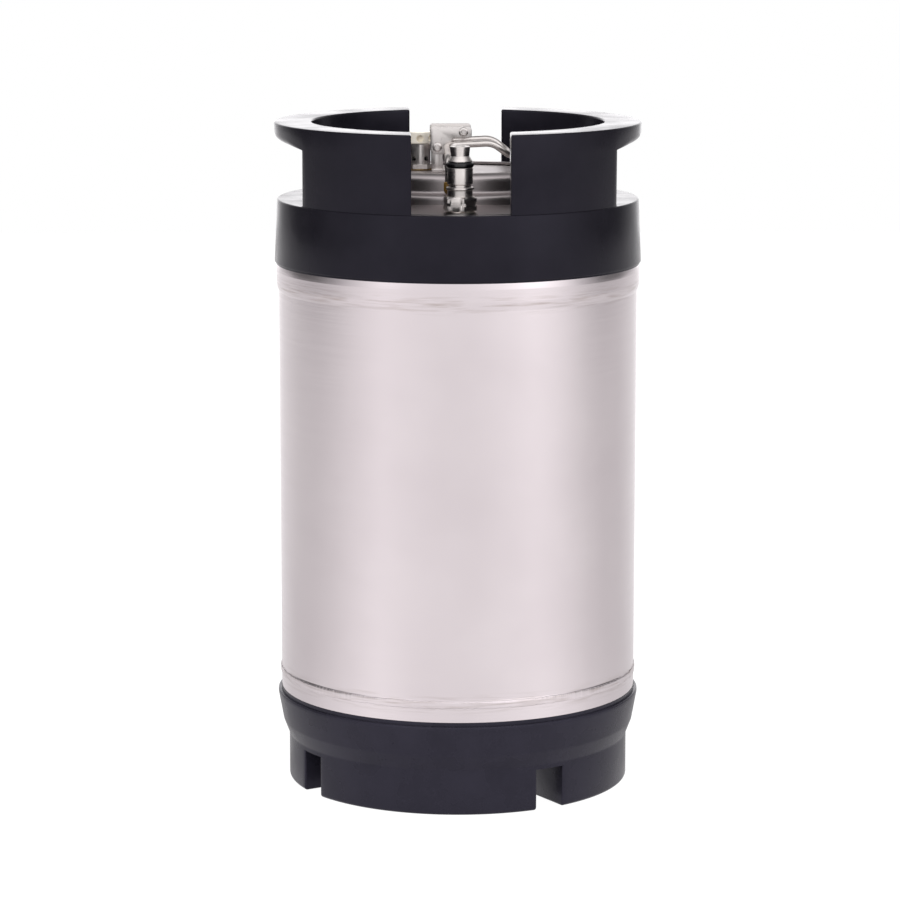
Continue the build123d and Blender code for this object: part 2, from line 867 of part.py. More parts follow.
latch_makers = {
    "lid_bracket": make_lid_bracket,
    "latch_pivot_pin": make_pivot_pin,
    "latch_cross_pin": make_cross_pin,
    "latch_handle": make_handle,
}
for name, make in latch_makers.items():
    pieces[name] = pivot_place * make()
for name, make in {"latch_cheeks": make_cheeks, "latch_feet": make_feet}.items():
    pieces[name] = Compound([pivot_place * solid for solid in make()])

os.makedirs("parts", exist_ok=True)
for name, piece in pieces.items():
    export_step(piece, f"parts/{name}.step")
    print(name, round(piece.volume), "mm3")
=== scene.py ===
import math
import bmesh
import bpy
from mathutils import Matrix, Vector


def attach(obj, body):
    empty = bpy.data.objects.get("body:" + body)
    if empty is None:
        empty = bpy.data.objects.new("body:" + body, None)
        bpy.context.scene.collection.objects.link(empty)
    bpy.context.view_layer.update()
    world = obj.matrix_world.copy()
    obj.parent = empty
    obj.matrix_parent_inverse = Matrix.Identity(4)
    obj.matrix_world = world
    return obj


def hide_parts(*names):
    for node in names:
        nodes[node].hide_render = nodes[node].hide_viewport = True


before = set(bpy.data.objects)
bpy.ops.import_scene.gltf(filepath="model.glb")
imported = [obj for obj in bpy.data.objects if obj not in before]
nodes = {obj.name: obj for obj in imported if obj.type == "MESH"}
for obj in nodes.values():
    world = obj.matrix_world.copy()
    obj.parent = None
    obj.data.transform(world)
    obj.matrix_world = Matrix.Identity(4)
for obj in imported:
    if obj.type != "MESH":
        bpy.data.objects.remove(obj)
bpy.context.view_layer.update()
scene = bpy.context.scene
print("frame loaded:", len(nodes), "nodes")

mm = 0.001  # sizes below are in millimetres, and each mesh is scaled to metres when it is finished
hair = 0.01  # keeps an outline off its axis, or just past an edge


# colours and nodes

def linear(hexCode):
    parts = [int(hexCode[i:i + 2], 16) / 255 for i in (1, 3, 5)]
    return tuple(c / 12.92 if c <= 0.04045 else ((c + 0.055) / 1.055) ** 2.4 for c in parts) + (1.0,)


def addNode(tree, kind, settings=None, links=None):
    node = tree.nodes.new(kind)
    for key, value in (settings or {}).items():
        if isinstance(key, int) or key in node.inputs:
            node.inputs[key].default_value = value
        else:
            setattr(node, key, value)
    for key, source in (links or {}).items():
        tree.links.new(source, node.inputs[key])
    return node


def startMaterial(name, shader):
    material = bpy.data.materials.new(name)
    material.use_nodes = True
    tree = material.node_tree
    tree.nodes.clear()
    surface = addNode(tree, "ShaderNodeBsdfPrincipled", shader)
    addNode(tree, "ShaderNodeOutputMaterial", None, {"Surface": surface.outputs[0]})
    place = addNode(tree, "ShaderNodeTexCoord").outputs["Object"]
    return material, tree, surface, place


noiseSpan = (0.3, 0.7)  # where nearly all of a noise's values lie


# what most finishes share: a noise drifts the colour between two shades, and it or another drifts the gloss
def driftFinish(tree, surface, place, s, glossBy=None):
    size = {"Scale": 1 / (s["spread"] * mm), "Detail": s["detail"]}
    drift = addNode(tree, "ShaderNodeTexNoise", size, {"Vector": place}).outputs["Fac"]
    shades = {"data_type": "RGBA", 6: linear(s["dark"]), 7: linear(s["light"])}
    colour = addNode(tree, "ShaderNodeMix", shades, {0: drift})
    tree.links.new(colour.outputs[2], surface.inputs["Base Color"])
    span = {"From Min": noiseSpan[0], "From Max": noiseSpan[1],
            "To Min": s["rough"][0], "To Max": s["rough"][1]}
    gloss = addNode(tree, "ShaderNodeMapRange", span, {"Value": drift if glossBy is None else glossBy})
    tree.links.new(gloss.outputs[0], surface.inputs["Roughness"])
    return drift


# Satin stainless sheet, rolled and buffed round the tank: a soft, slightly warm grey sheen with hair-fine
# lines round the body and cloudy patches from the buffing; straw tint where the girth welds were cleaned.
# Above the shoulder the drawn head was never buffed: greyer, with broad soft shades and no mirror image.
satinSheet = {
    "light": "#EAE2E4", "dark": "#D5CCCF", "cloud": 70.0, "rough": (0.17, 0.25), "roughFrom": (0.6, 1.4),
    "lineLength": 60.0, "lineWidth": 0.9,  # real lines are near 0.1 mm; drawn coarse so that they show
    "bump": (0.5, 0.02), "seams": (68.0, 304.5), "tint": "#8F7E6B", "tintReach": 7.0,
    "stain": (22.0, 1.5), "stainFrom": (0.46, 0.76), "stained": 0.5,
    "dull": "#BFB8B8", "dullFrom": 326.0, "dullTo": 336.0, "dullRough": 0.4,
}


def makeSatinStainless():
    s = satinSheet
    shader = {"Metallic": 1.0, "Anisotropic": 0.3}
    material, tree, surface, place = startMaterial("stainlessSatinBuffed", shader)
    size = {"Scale": 1 / (s["cloud"] * mm), "Detail": 3.0}
    cloud = addNode(tree, "ShaderNodeTexNoise", size, {"Vector": place}).outputs["Fac"]
    long, tall = 1 / (s["lineLength"] * mm), 1 / (s["lineWidth"] * mm)
    along = addNode(tree, "ShaderNodeMapping", {"Scale": (long, long, tall)}, {"Vector": place}).outputs[0]
    size = {"Scale": 1.0, "Detail": 2.0}
    lines = addNode(tree, "ShaderNodeTexNoise", size, {"Vector": along}).outputs["Fac"]
    shades = {"data_type": "RGBA", 6: linear(s["dark"]), 7: linear(s["light"])}
    tinted = addNode(tree, "ShaderNodeMix", shades, {0: cloud}).outputs[2]
    height = addNode(tree, "ShaderNodeSeparateXYZ", None, {0: place}).outputs["Z"]

    # stains in long flat patches, only near the seams
    long, tall = (1 / (v * mm) for v in s["stain"])
    spots = addNode(tree, "ShaderNodeMapping", {"Scale": (long, long, tall)}, {"Vector": place}).outputs[0]
    size = {"Scale": 1.0, "Detail": 4.0}
    spots = addNode(tree, "ShaderNodeTexNoise", size, {"Vector": spots}).outputs["Fac"]
    span = {"From Min": s["stainFrom"][0], "From Max": s["stainFrom"][1], "To Max": s["stained"]}
    stain = addNode(tree, "ShaderNodeMapRange", span, {"Value": spots}).outputs[0]
    for seam in s["seams"]:
        away = addNode(tree, "ShaderNodeMath", {"operation": "SUBTRACT", 1: seam * mm}, {0: height})
        away = addNode(tree, "ShaderNodeMath", {"operation": "ABSOLUTE"}, {0: away.outputs[0]})
        span = {"From Min": s["tintReach"] * mm, "From Max": 0.0}
        near = addNode(tree, "ShaderNodeMapRange", span, {"Value": away.outputs[0]})
        patchy = addNode(tree, "ShaderNodeMath", {"operation": "MULTIPLY"}, {0: near.outputs[0], 1: stain})
        shades = {"data_type": "RGBA", 7: linear(s["tint"])}
        tinted = addNode(tree, "ShaderNodeMix", shades, {0: patchy.outputs[0], 6: tinted}).outputs[2]

    # the unbuffed head
    span = {"From Min": s["dullFrom"] * mm, "From Max": s["dullTo"] * mm}
    drawn = addNode(tree, "ShaderNodeMapRange", span, {"Value": height}).outputs[0]
    shades = {"data_type": "RGBA", 7: linear(s["dull"])}
    colour = addNode(tree, "ShaderNodeMix", shades, {0: drawn, 6: tinted})
    tree.links.new(colour.outputs[2], surface.inputs["Base Color"])
    both = addNode(tree, "ShaderNodeMath", {"operation": "ADD"}, {0: cloud, 1: lines})
    span = {"From Min": s["roughFrom"][0], "From Max": s["roughFrom"][1],
            "To Min": s["rough"][0], "To Max": s["rough"][1]}
    rough = addNode(tree, "ShaderNodeMapRange", span, {"Value": both.outputs[0]})
    blend = addNode(tree, "ShaderNodeMix", {3: s["dullRough"]}, {0: drawn, 2: rough.outputs[0]})
    tree.links.new(blend.outputs[0], surface.inputs["Roughness"])
    depth = {"Strength": s["bump"][0], "Distance": s["bump"][1] * mm}
    bump = addNode(tree, "ShaderNodeBump", depth, {"Height": lines})
    tree.links.new(bump.outputs[0], surface.inputs["Normal"])
    return material


# Stainless turned and polished bright: crisp reflections, with faint lathe rings that dull it a little.
brightBar = {"light": "#ECE7E3", "dark": "#D8D2CE", "spread": 4.0, "detail": 2.0, "rough": (0.26, 0.4),
             "ring": 0.35, "ringLength": 20.0, "bump": (0.25, 0.02)}


def makeBrightStainless():
    s = brightBar
    material, tree, surface, place = startMaterial("stainlessTurnedBright", {"Metallic": 1.0})
    long, tall = 1 / (s["ringLength"] * mm), 1 / (s["ring"] * mm)
    along = addNode(tree, "ShaderNodeMapping", {"Scale": (long, long, tall)}, {"Vector": place}).outputs[0]
    size = {"Scale": 1.0, "Detail": 1.0}
    rings = addNode(tree, "ShaderNodeTexNoise", size, {"Vector": along}).outputs["Fac"]
    driftFinish(tree, surface, place, s, rings)
    depth = {"Strength": s["bump"][0], "Distance": s["bump"][1] * mm}
    bump = addNode(tree, "ShaderNodeBump", depth, {"Height": rings})
    tree.links.new(bump.outputs[0], surface.inputs["Normal"])
    return material


# Stainless sheet pressed to shape and tumbled: paler and duller than the turned pieces, with small pits.
pressedSheet = {"light": "#F0ECE9", "dark": "#DDD8D5", "spread": 5.0, "detail": 3.0, "rough": (0.26, 0.4),
                "grain": 0.8, "bump": (0.3, 0.03)}


def makePressedStainless():
    s = pressedSheet
    material, tree, surface, place = startMaterial("stainlessPressedTumbled", {"Metallic": 1.0})
    driftFinish(tree, surface, place, s)
    size = {"Scale": 1 / (s["grain"] * mm), "Detail": 2.0}
    pits = addNode(tree, "ShaderNodeTexNoise", size, {"Vector": place}).outputs["Fac"]
    depth = {"Strength": s["bump"][0], "Distance": s["bump"][1] * mm}
    bump = addNode(tree, "ShaderNodeBump", depth, {"Height": pits})
    tree.links.new(bump.outputs[0], surface.inputs["Normal"])
    return material


# Black moulded rubber: almost black with a cold cast, matt to the front, and a pale bloom where it is seen
# edge on.
# The foot gets a lit copy, painted a shade lighter and bluer than the handle for the light bounced up from
# the floor.
rubberFinishes = {
    "rubberMouldedBlack": {"dark": "#111016", "light": "#1F1D24", "rough": (0.17, 0.27)},
    # painted light: a lighter, bluer copy of the rubber for the foot, standing in for light bounced up from
    # the floor
    "rubberPaintedFloorLight": {"dark": "#201F27", "light": "#33313C", "rough": (0.22, 0.34)},
}
rubberGrain = {
    "spread": 22.0, "detail": 5.0, "gloss": "#E4E1FA",
    "bumps": ((9.0, 1.0, 0.2, 0.2), (0.9, 2.0, 0.3, 0.05)),  # size, detail, strength, depth
}


def makeMouldedRubber(name):
    s = rubberFinishes[name] | rubberGrain
    shader = {"IOR": 1.5, "Specular IOR Level": 0.2, "Specular Tint": linear(s["gloss"])}
    material, tree, surface, place = startMaterial(name, shader)
    driftFinish(tree, surface, place, s)
    under = {}
    for width, detail, strength, depth in s["bumps"]:
        size = {"Scale": 1 / (width * mm), "Detail": detail}
        grain = addNode(tree, "ShaderNodeTexNoise", size, {"Vector": place})
        bump = addNode(tree, "ShaderNodeBump", {"Strength": strength, "Distance": depth * mm},
                       {"Height": grain.outputs["Fac"]} | under)
        under = {"Normal": bump.outputs[0]}
    tree.links.new(bump.outputs[0], surface.inputs["Normal"])
    return material


# Soft pieces and plastics share one plan: a colour that drifts a little, and a fine grain in the gloss.
softFinishes = {
    "nitrileMoulded": {
        "dark": "#08080A", "light": "#131316", "spread": 3.0, "rough": (0.22, 0.34), "ior": 1.52},
    "acetalIvoryMoulded": {
        "dark": "#FCF3E2", "light": "#FFFAF0", "spread": 4.0, "rough": (0.3, 0.42), "ior": 1.48},
    "gumRubberDipped": {
        "dark": "#7E5F2C", "light": "#A07D3F", "spread": 2.5, "rough": (0.3, 0.45), "ior": 1.5},
    # painted shade: the relief spring and stem are near black to stand in for the shade inside the valve
    # behind its vents
    "springStemPaintedShade": {
        "dark": "#0D0D0F", "light": "#1C1C1F", "spread": 1.5, "rough": (0.3, 0.45), "ior": 1.6},
    "fibreGasketCut": {
        "dark": "#6F5A38", "light": "#97805A", "spread": 0.8, "rough": (0.55, 0.8), "ior": 1.45},
}
softGrain = {"detail": 4.0, "bump": (0.2, 0.04)}


def makeSoftFinish(name):
    s = softFinishes[name] | softGrain
    material, tree, surface, place = startMaterial(name, {"IOR": s["ior"]})
    drift = driftFinish(tree, surface, place, s)
    depth = {"Strength": s["bump"][0], "Distance": s["bump"][1] * mm}
    bump = addNode(tree, "ShaderNodeBump", depth, {"Height": drift})
    tree.links.new(bump.outputs[0], surface.inputs["Normal"])
    return material


satin = makeSatinStainless()
bright = makeBrightStainless()
pressed = makePressedStainless()
rubber, floorLitRubber = (makeMouldedRubber(name) for name in rubberFinishes)
nitrile, ivory, gum, shadedSpringStem, fibre = (makeSoftFinish(name) for name in softFinishes)
print("materials made")


# every CAD node gets its finish first, and the pieces below take over the ones that show most
finishOf = {
    satin: ("tank_shell", "top_head", "bottom_head", "lid_plate"),
    rubber: ("top_boot",),
    floorLitRubber: ("bottom_boot",),
    nitrile: ("lid_oring", "gas_post_oring", "liquid_post_oring", "gas_tube_oring", "liquid_tube_oring",
              "gas_poppet_seal", "liquid_poppet_seal", "relief_seal"),
    pressed: ("lid_bracket", "latch_cheeks", "relief_nut", "relief_bonnet"),
    ivory: ("relief_knob",),
    gum: ("latch_feet",),
    fibre: ("relief_gasket",),
    # painted shade inside the relief valve
    shadedSpringStem: ("relief_spring", "relief_stem"),
}
given = {name: material for material, names in finishOf.items() for name in names}
for name, node in nodes.items():
    node.data.materials.clear()
    node.data.materials.append(given.get(name, bright))


# shaping helpers: outlines are (across, up) pairs in millimetres, and a corner adds its rounding's radius

def roundProfile(corners, steps=6):
    points = []
    for i, (across, up, radius) in enumerate(corners):
        here = Vector((across, up))
        if not radius:
            points.append(here)
            continue
        back = (Vector(corners[i - 1][:2]) - here).normalized()
        ahead = (Vector(corners[(i + 1) % len(corners)][:2]) - here).normalized()
        half = math.acos(max(-1.0, min(1.0, back.dot(ahead)))) / 2
        centre = here + (back + ahead).normalized() * (radius / math.sin(half))
        first = here + back * (radius / math.tan(half)) - centre
        last = here + ahead * (radius / math.tan(half)) - centre
        turn = math.atan2(first.x * last.y - first.y * last.x, first.dot(last))
        for k in range(steps + 1):
            points.append(centre + Matrix.Rotation(turn * k / steps, 2) @ first)
    return points


# moves an outline inwards; points closer together than apart count as one corner
def insetProfile(points, depth, apart=0.02, sharpest=0.4):
    if not depth:
        return points
    area = sum(a.x * b.y - b.x * a.y for a, b in zip(points, points[1:] + points[:1]))
    side = 1 if area > 0 else -1
    count = len(points)
    moved = []
    for i, here in enumerate(points):
        steps = [points[(i + k) % count] - here for k in range(1, count)]
        after = next(step for step in steps if step.length > apart).normalized()
        before = -next(step for step in reversed(steps) if step.length > apart).normalized()
        along = (before + after).normalized()
        inward = Vector((-along.y, along.x)) * side
        moved.append(here + inward * depth / max(sharpest, along.dot(after)))
    return moved


def stitch(rings, closed, caps=False):
    count = len(rings[0])
    points = [p for ring in rings for p in ring]
    faces = []
    for i in range(len(rings) if closed else len(rings) - 1):
        j = (i + 1) % len(rings)
        for k in range(count):
            n = (k + 1) % count
            faces.append((i * count + k, i * count + n, j * count + n, j * count + k))
    if caps:
        faces += [tuple(range(count)), tuple(range(len(points) - count, len(points)))]
    return points, faces


def spun(radius, angle, level):
    return radius * math.cos(angle), radius * math.sin(angle), level


def lathe(profile, segments=96):
    turns = [math.tau * i / segments for i in range(segments)]
    return stitch([[spun(p.x, a, p.y) for p in profile] for a in turns], True)


def roundSteps(edge, steps=4):
    turns = [math.pi / 2 * k / steps for k in range(steps + 1)]
    return [(edge * (1 - math.sin(t)), edge * (1 - math.cos(t))) for t in turns]


# a section swept round the axis between two flat-sided gaps, with its end edges rounded over
def sweepBetween(profile, start, end, halfGap, edge, segments):
    def ring(inset, plane, share):
        made = []
        for p in insetProfile(profile, inset):
            lead = math.asin(plane / p.x)
            a = math.radians(start) + lead + share * (math.radians(end - start) - 2 * lead)
            made.append(spun(p.x, a, p.y))
        return made
    ends = [(inset, halfGap + inside) for inset, inside in roundSteps(edge)]
    rings = [ring(inset, plane, 0) for inset, plane in ends]
    rings += [ring(0, halfGap + edge, i / segments) for i in range(1, segments)]
    rings += [ring(inset, plane, 1) for inset, plane in reversed(ends)]
    return stitch(rings, False, True)


# a flat plate with softened edges, its outline in x and z and its thickness along y
def platePoints(outline, low, high, edge):
    steps = roundSteps(edge, 3)
    levels = [(inset, low + inside) for inset, inside in steps]
    levels += [(inset, high - inside) for inset, inside in reversed(steps)]
    rings = [[(p.x, y, p.y) for p in insetProfile(outline, inset)] for inset, y in levels]
    return stitch(rings, False, True)


def shift(shape, offset):
    points, faces = shape
    return [tuple(a + b for a, b in zip(p, offset)) for p in points], faces


def joined(*shapes):
    points, faces = [], []
    for more, sides in shapes:
        start = len(points)
        points += list(more)
        faces += [tuple(start + i for i in side) for side in sides]
    return points, faces


def settle(piece, body, replaced=()):
    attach(piece, body)
    if replaced:
        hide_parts(*replaced)


def makePiece(name, shape, material, body, replaced=(), sharp=38):
    points, faces = shape
    mesh = bpy.data.meshes.new(name)
    mesh.from_pydata([(x * mm, y * mm, z * mm) for x, y, z in points], [], faces)
    work = bmesh.new()
    work.from_mesh(mesh)
    bmesh.ops.remove_doubles(work, verts=work.verts, dist=1e-7)
    bmesh.ops.recalc_face_normals(work, faces=work.faces)
    work.to_mesh(mesh)
    work.free()
    mesh.shade_smooth()
    mesh.set_sharp_from_angle(angle=math.radians(sharp))
    mesh.materials.append(material)
    piece = bpy.data.objects.new(name, mesh)
    scene.collection.objects.link(piece)
    settle(piece, body, replaced)
    return piece


# the steel that the boots and welds sit on, as the CAD has it
tank = {
    "skirtRadius": 109.35, "crownRadius": 190.0, "crownCentre": 174.063, "knuckle": 30.0,
    "upperTangent": 313.0, "bowlCentre": 197.2, "bowlRadius": 92.6, "bowlKnuckle": 78.0,
    "lowerTangent": 57.5, "bootFit": 0.15,
}


# upper boot: shoulder band and ledge, with two thick handle lobes that stand on it
topBoot = {
    "bandBottom": 317.0, "bandRadius": 110.5, "ledgeRadius": 108.8, "ledge": 355.8, "rim": 100.0,
    "rimFoot": 330.0, "rimRound": 1.0, "bandRound": 0.5, "ledgeRound": 1.1,
    "skinDrop": 0.2, "skin": (108.9, 107.5, 105.5, 103.2, 100.0),
    "grip": 87.8, "wall": 108.0, "top": 402.0, "flange": 110.3, "flangeLow": 392.0, "pocket": 92.1,
    "rootLow": 389.4, "tipRound": 5.0, "rootRound": 3.0, "floorRound": 0.7, "roundShare": 0.45,
    "topRound": 1.2, "lift": 0.02, "halfGap": 28.6, "endRound": 1.0, "buried": 338.0, "fade": 45.0,
    "middle": 100.0, "shutRise": 1.67, "pocketSteps": 24, "endSteps": 32, "segments": 256, "sharp": 26,
}


# a lobe's section changes round the tank, because its finger pocket is cut straight from front to back
def lobeSection(angle):
    s = topBoot
    flare = (s["flange"] - s["wall"]) / (s["top"] - s["ledge"])
    slope = (s["flangeLow"] - s["rootLow"]) / (s["flange"] - s["pocket"])
    rootWall = s["wall"] + flare * (s["rootLow"] - s["ledge"])
    floor = s["pocket"] / math.cos(angle)
    low, root = min(floor, s["wall"]), min(floor, rootWall)
    tip = s["rootLow"] + max(s["lift"], (rootWall * math.cos(angle) - s["pocket"]) * slope)
    depth = s["roundShare"] * max(rootWall - root, s["lift"])
    ledge = s["ledge"] + s["lift"]
    return roundProfile([
        (s["grip"], s["buried"], 0), (s["grip"], s["top"], s["topRound"]),
        (s["flange"], s["top"], s["topRound"]),
        (s["wall"] + flare * (tip - s["ledge"]), tip, min(s["tipRound"], depth)),
        (root, s["rootLow"], min(s["rootRound"], depth)), (low, ledge, min(s["floorRound"], depth)),
        (s["wall"], ledge, 0), (s["wall"], s["buried"], 0)])


def lobeShape(turn):
    s = topBoot
    middle, fade = s["middle"], math.radians(s["fade"])

    # towards its ends a lobe's rings turn from radial to flat, square to the gap
    def ring(angle, inset, plane):
        limit = math.acos(plane / middle)
        share = max(0.0, (abs(angle) - fade) / (limit - fade))
        made = []
        for p in insetProfile(lobeSection(angle), inset):
            a = turn + angle + math.copysign(share, angle) * (math.acos(plane / p.x) - limit)
            made.append(spun(p.x, a, p.y))
        return made
    ends = [(inset, s["halfGap"] + inside) for inset, inside in roundSteps(s["endRound"])]
    last = math.acos((s["halfGap"] + s["endRound"]) / middle)
    shut, past = (math.acos(s["pocket"] / r) for r in (s["wall"], s["wall"] + s["shutRise"]))
    half = [shut * i / s["pocketSteps"] for i in range(s["pocketSteps"] + 1)]
    half += [past + (last - past) * i / s["endSteps"] for i in range(s["endSteps"])]
    angles = [-a for a in half[:0:-1]] + half
    rings = [ring(-math.acos(plane / middle), inset, plane) for inset, plane in ends]
    rings += [ring(a, 0, s["halfGap"] + s["endRound"]) for a in angles]
    rings += [ring(math.acos(plane / middle), inset, plane) for inset, plane in reversed(ends)]
    return stitch(rings, False, True)


def makeTopBoot():
    s = topBoot
    outer, bend = tank["skirtRadius"] + tank["bootFit"], tank["knuckle"] + tank["bootFit"]
    skin = [Vector((outer, s["bandBottom"] - s["skinDrop"]))]
    for r in s["skin"]:
        skin.append(Vector((r, tank["upperTangent"] + math.sqrt(bend ** 2 - (r - outer + bend) ** 2))))
    steps = 6
    outside = roundProfile([
        (s["rim"], s["ledge"], s["rimRound"]), (s["rim"], s["rimFoot"], 0),
        (s["bandRadius"], s["bandBottom"], s["bandRound"]),
        (s["ledgeRadius"], s["ledge"], s["ledgeRound"])], steps)
    # the rim's foot only steers the roundings beside it, and the skin over the shoulder takes its place
    band = outside[:steps + 1] + skin[::-1] + outside[steps + 2:]
    shape = joined(lathe(band, s["segments"]), lobeShape(0.0), lobeShape(math.pi))
    makePiece("topBoot", shape, rubber, "tank", ("top_boot",), s["sharp"])


# lower boot: foot ring that flares to a lip, cut by four drain notches
bottomBoot = {
    "inner": 74.0, "foot": 103.6, "wallTop": 27.5, "flare": 107.1, "flareTop": 36.5, "lip": 110.1,
    "lipHeight": 2.1, "lipInner": 108.2, "top": 55.0, "notchTop": 25.0, "notches": 4, "halfNotch": 9.0,
    "firstNotch": -59.0, "edge": 1.2, "innerRound": 1.0, "soleRound": 2.0, "wallRound": 4.0,
    "flareRound": 8.0, "lipRound": 1.0, "bowl": (74.0, 82.0, 89.0, 95.0, 99.5, 103.0, 105.6, 107.2, 108.0),
    "segments": 256, "footSegments": 48,
}


def makeBottomBoot():
    s = bottomBoot
    bowl = []
    for r in s["bowl"]:
        if r < tank["bowlRadius"]:
            level = tank["bowlCentre"] - math.sqrt(tank["crownRadius"] ** 2 - r ** 2)
        else:
            drop = tank["knuckle"] ** 2 - (r - tank["bowlKnuckle"]) ** 2
            level = tank["lowerTangent"] - math.sqrt(max(0.0, drop))
        bowl.append(Vector((r + tank["bootFit"], level - tank["bootFit"])))
    outside = roundProfile([
        (s["inner"], s["notchTop"], 0), (s["foot"], s["notchTop"], 0),
        (s["foot"], s["wallTop"], s["wallRound"]),
        (s["flare"], s["flareTop"], s["flareRound"]), (s["lip"], s["top"] - s["lipHeight"], s["lipRound"]),
        (s["lip"], s["top"], s["lipRound"]), (s["lipInner"], s["top"], 0)], 8)
    ring = lathe(outside + bowl[::-1], s["segments"])
    foot = roundProfile([
        (s["inner"], 0, s["innerRound"]), (s["foot"], 0, s["soleRound"]),
        (s["foot"], s["notchTop"], 0), (s["inner"], s["notchTop"], 0)])
    part = 360 / s["notches"]
    starts = [s["firstNotch"] + part * i for i in range(s["notches"])]
    feet = [sweepBetween(foot, a, a + part, s["halfNotch"], s["edge"], s["footSegments"]) for a in starts]
    makePiece("bottomBoot", joined(ring, *feet), floorLitRubber, "tank", ("bottom_boot",))


makeTopBoot()
makeBottomBoot()
print("rubber boots made")


# coupling posts: chamfered hex, collar, locking groove, O-ring groove and a hollow nose
post = {
    "circle": 70.15, "hex": 17.5, "low": 354.557, "hexTop": 363.557, "chamfer": 0.9, "lowCut": 0.3,
    "topCut": 0.2, "nick": 1.6, "nickDepth": 0.8, "nickSlope": 0.15, "gasTurn": -17.0, "hexStep": 2,
    "collar": 7.4, "collarLow": 361.557, "collarTop": 367.357, "flange": 8.1, "flangeTop": 368.857,
    "groove": 6.5, "grooveTop": 370.357, "land": 7.45, "landTop": 380.257, "cone": 383.657, "nose": 386.957,
    "top": 392.657, "neck": 5.4, "rim": 5.9, "bore": 3.0, "boreDepth": 7.0,
    "slant": 0.2, "landSlant": 0.25, "sealSlant": 0.1,
    "ringLevel": 381.857, "ringSection": 3.9, "ringRadius": 6.15, "ringSteps": 28, "sharp": 30,
}


def hexBarrel(turn, nicked):
    s = post
    flat = s["hex"] / 2
    corner = flat / math.cos(math.pi / 6)
    whole = corner + hair
    limits = [(s["low"], flat - s["lowCut"]), (s["low"] + s["chamfer"], whole)]
    if nicked:
        middle, half = (s["low"] + s["hexTop"]) / 2, s["nick"] / 2
        cut, reach = corner - s["nickDepth"], half + s["nickSlope"]
        limits += [(middle - reach, whole), (middle - half, cut)]
        limits += [(middle + half, cut), (middle + reach, whole)]
    limits += [(s["hexTop"] - s["chamfer"], whole), (s["hexTop"], flat - s["topCut"])]
    rings = []
    for degrees in range(0, 360, s["hexStep"]):
        side = flat / math.cos(math.radians(degrees % 60 - 30))
        column = [(min(side, limit), z) for z, limit in limits]
        column = [(s["bore"], s["low"])] + column + [(s["bore"], s["hexTop"])]
        rings.append([spun(r, math.radians(turn + degrees), z) for r, z in column])
    return stitch(rings, True)


def makePosts():
    s = post
    body = lathe(roundProfile([
        (s["bore"], s["collarLow"], 0), (s["collar"], s["collarLow"], 0), (s["collar"], s["collarTop"], 0.5),
        (s["flange"], s["collarTop"] + s["slant"], 0.3), (s["flange"], s["flangeTop"], 0.35),
        (s["groove"], s["flangeTop"] + s["slant"], 0.3), (s["groove"], s["grooveTop"], 0.3),
        (s["land"], s["grooveTop"] + s["landSlant"], 0.3), (s["land"], s["landTop"], 0.35),
        (s["neck"], s["landTop"] + s["sealSlant"], 0), (s["neck"], s["cone"] - s["sealSlant"], 0),
        (s["land"], s["cone"], 0.4), (s["neck"], s["nose"], 0.8), (s["rim"], s["top"], 0.5),
        (s["bore"], s["top"], 0.4), (s["bore"], s["top"] - s["boreDepth"], 0)], 4))
    turns = [math.tau * k / s["ringSteps"] for k in range(s["ringSteps"])]
    thick = s["ringSection"] / 2
    seal = lathe([Vector((s["ringRadius"] + thick * math.cos(t), s["ringLevel"] + thick * math.sin(t)))
                  for t in turns])
    for name, side, turn, nicked in (("gas", -1, s["gasTurn"], True), ("liquid", 1, 0.0, False)):
        place = (0, side * s["circle"], 0)
        barrel = shift(joined(hexBarrel(turn, nicked), body), place)
        makePiece(name + "Post", barrel, bright, "tank", (name + "_post",), s["sharp"])
        makePiece(name + "Seal", shift(seal, place), nitrile, "tank", (name + "_post_oring",))


makePosts()
print("coupling posts made")


# lid seal: a soft cord that bulges a little out of its oval seat
lidSeal = {"offset": 2.7, "level": 369.213, "section": 6.5, "tip": 18.0, "end": 30.0, "drop": 24.0,
           "side": 60.0, "segments": 240, "steps": 24}


def ovalPoint(angle, offset):
    s = lidSeal
    c, d = math.cos(angle), math.sin(angle)
    split = math.atan2(s["drop"], s["tip"])
    turn = abs(math.atan2(abs(d), abs(c)))
    if turn <= split:
        return math.copysign(s["tip"], c) + (s["end"] + offset) * c, (s["end"] + offset) * d
    return (s["side"] + offset) * c, -math.copysign(s["drop"], d) + (s["side"] + offset) * d


def makeLidSeal():
    s = lidSeal
    thick = s["section"] / 2
    turns = [math.tau * k / s["steps"] for k in range(s["steps"])]
    rings = []
    for i in range(s["segments"]):
        a = math.tau * i / s["segments"]
        rings.append([(*ovalPoint(a, s["offset"] + thick * math.cos(t)), s["level"] + thick * math.sin(t))
                      for t in turns])
    makePiece("lidSeal", stitch(rings, True), nitrile, "lid", ("lid_oring",))


# relief valve gasket: a cut washer that squeezes out slightly under the hex
reliefGasket = {"place": (-22.8, 0, 0), "low": 372.363, "high": 373.563, "inner": 6.2, "outer": 7.5,
                "bulge": 0.35, "bulgeHalf": 0.3, "pinch": 0.2}


def makeReliefGasket():
    s = reliefGasket
    middle = (s["low"] + s["high"]) / 2
    cut, waist = s["outer"] - s["pinch"], s["outer"] + s["bulge"] / 2
    profile = [Vector(p) for p in (
        (s["inner"], s["low"]), (cut, s["low"]), (waist, middle - s["bulgeHalf"]),
        (s["outer"] + s["bulge"], middle),
        (waist, middle + s["bulgeHalf"]), (cut, s["high"]), (s["inner"], s["high"]))]
    washer = shift(lathe(profile), s["place"])
    makePiece("reliefGasket", washer, fibre, "lid", ("relief_gasket",))


makeLidSeal()
makeReliefGasket()
print("lid seal and gasket made")


